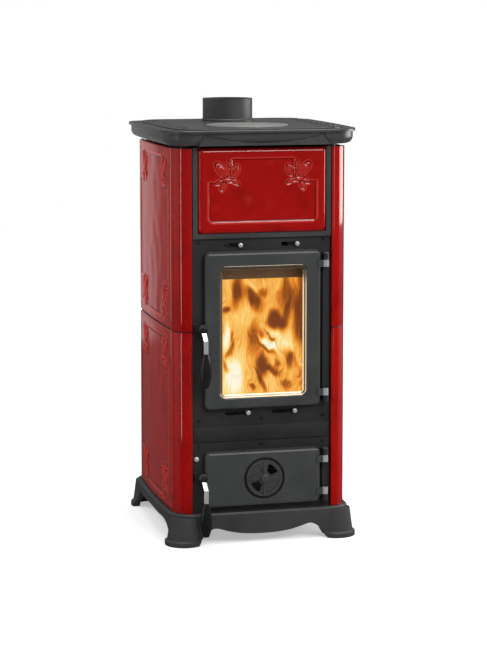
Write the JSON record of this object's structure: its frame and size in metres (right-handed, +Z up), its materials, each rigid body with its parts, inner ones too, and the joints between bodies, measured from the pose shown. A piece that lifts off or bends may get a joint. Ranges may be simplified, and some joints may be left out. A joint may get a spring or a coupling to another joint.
{
  "type": "wood stove",
  "caption": "Free-standing cast iron wood stove clad in glazed ceramic tiles, with a glazed fire door, an ash door with an air wheel, a cooking disc and a top flue spigot.",
  "frame": {"origin": "on the floor, below the middle of the bounding box of the stove", "axes": "+X to the right as seen from the front, +Y towards the rear, +Z up"},
  "size_m": [0.506, 0.5395, 1.092],
  "materials": {
    "cast": "satin stove paint over cast iron",
    "glaze": "deep red glossy majolica glaze, relief cast",
    "steel": "plain steel, slightly darkened by heat",
    "chrome": "polished chrome",
    "glass": "clear heat-resistant ceramic glass",
    "grip": "black heat-resistant grip, satin",
    "rope": "woven glass fibre seal",
    "firebrick": "matt vermiculite board",
    "wood": "charred round logs",
    "sheet": "folded sheet, matt heat-resistant paint"
  },
  "bodies": {
    "stove_body": {"base_casting": "cast", "left_wall": "cast", "right_wall": "cast", "back_wall": "cast", "upper_front_plate": "cast", "lower_front_plate": "cast", "front_plate_screws": "steel", "tie_rods": "steel", "side_tile_right_lower": "glaze", "side_tile_right_upper": "glaze", "side_tile_left_lower": "glaze", "side_tile_left_upper": "glaze", "corner_tile_right_lower": "glaze", "corner_tile_right_upper": "glaze", "corner_tile_left_lower": "glaze", "corner_tile_left_upper": "glaze", "tile_rail_right": "cast", "tile_rail_left": "cast", "front_tile_frame": "cast", "front_tile": "glaze", "top_plate": "cast", "flue_spigot": "cast", "flue_retaining_ring": "cast", "hinge_pins": "steel", "latch_keepers": "steel", "slider_guides": "steel", "ash_floor": "cast", "hearth_plate": "cast", "fire_grate": "cast", "firebrick_left": "firebrick", "firebrick_right": "firebrick", "firebrick_back": "firebrick", "baffle_plate": "firebrick", "log_guard": "cast", "air_deflector": "steel", "firewood": "wood", "rear_shield": "sheet", "shield_spacers": "steel"},
    "fire_door": {"fire_door_frame": "cast", "door_glass": "glass", "glass_gasket": "rope", "glass_clips": "steel", "fire_door_rope": "rope"},
    "fire_handle": {"fire_handle_lever": "chrome", "fire_handle_grip": "grip", "fire_latch": "steel"},
    "ash_door": {"ash_door_panel": "cast", "ash_door_rope": "rope"},
    "ash_handle": {"ash_handle_lever": "chrome", "ash_handle_grip": "grip", "ash_latch": "steel"},
    "air_wheel_turner": {"air_wheel": "cast"},
    "upper_slider": {"upper_air_slider": "steel", "upper_air_knobs": "chrome"},
    "lower_slider": {"lower_air_slider": "steel", "lower_air_knobs": "chrome"},
    "riddling_rod": {"shaker_rod": "steel", "shaker_knob": "chrome"},
    "ash_drawer": {"ash_pan": "sheet"},
    "cooking_lid": {"cooking_disc": "cast"}
  },
  "joints": [
    {"name": "fire_door_swing", "type": "hinge", "parent": "stove_body", "child": "fire_door", "pos_m": [0.1615, -0.2279, 0.5335], "axis": [0, 0, 1], "range_deg": [0, 110]},
    {"name": "fire_handle_turn", "type": "hinge", "parent": "fire_door", "child": "fire_handle", "pos_m": [-0.153, -0.2299, 0.5405], "axis": [0, 1, 0], "range_deg": [0, 80]},
    {"name": "ash_door_swing", "type": "hinge", "parent": "stove_body", "child": "ash_door", "pos_m": [0.1615, -0.2279, 0.1605], "axis": [0, 0, 1], "range_deg": [0, 110]},
    {"name": "ash_handle_turn", "type": "hinge", "parent": "ash_door", "child": "ash_handle", "pos_m": [-0.153, -0.2299, 0.1675], "axis": [0, 1, 0], "range_deg": [0, 80]},
    {"name": "air_wheel_turn", "type": "hinge", "parent": "ash_door", "child": "air_wheel_turner", "pos_m": [0.003, -0.2299, 0.1605], "axis": [0, 1, 0], "range_deg": [0, 45]},
    {"name": "upper_air_slide", "type": "slide", "parent": "stove_body", "child": "upper_slider", "axis": [1, 0, 0], "range_m": [-0.03, 0]},
    {"name": "lower_air_slide", "type": "slide", "parent": "stove_body", "child": "lower_slider", "axis": [1, 0, 0], "range_m": [-0.045, 0]},
    {"name": "riddling_pull", "type": "slide", "parent": "stove_body", "child": "riddling_rod", "axis": [0, -1, 0], "range_m": [0, 0.03]},
    {"name": "ash_pan_slide", "type": "slide", "parent": "stove_body", "child": "ash_drawer", "axis": [0, -1, 0], "range_m": [0, 0.135]},
    {"name": "cooking_lid_lift", "type": "slide", "parent": "stove_body", "child": "cooking_lid", "axis": [0, 0, 1], "range_m": [0, 0.06]}
  ],
  "couplings": [
    {"joint": "ash_pan_slide", "follows": "ash_door_swing", "m_per_rad": 0.07}
  ]
}
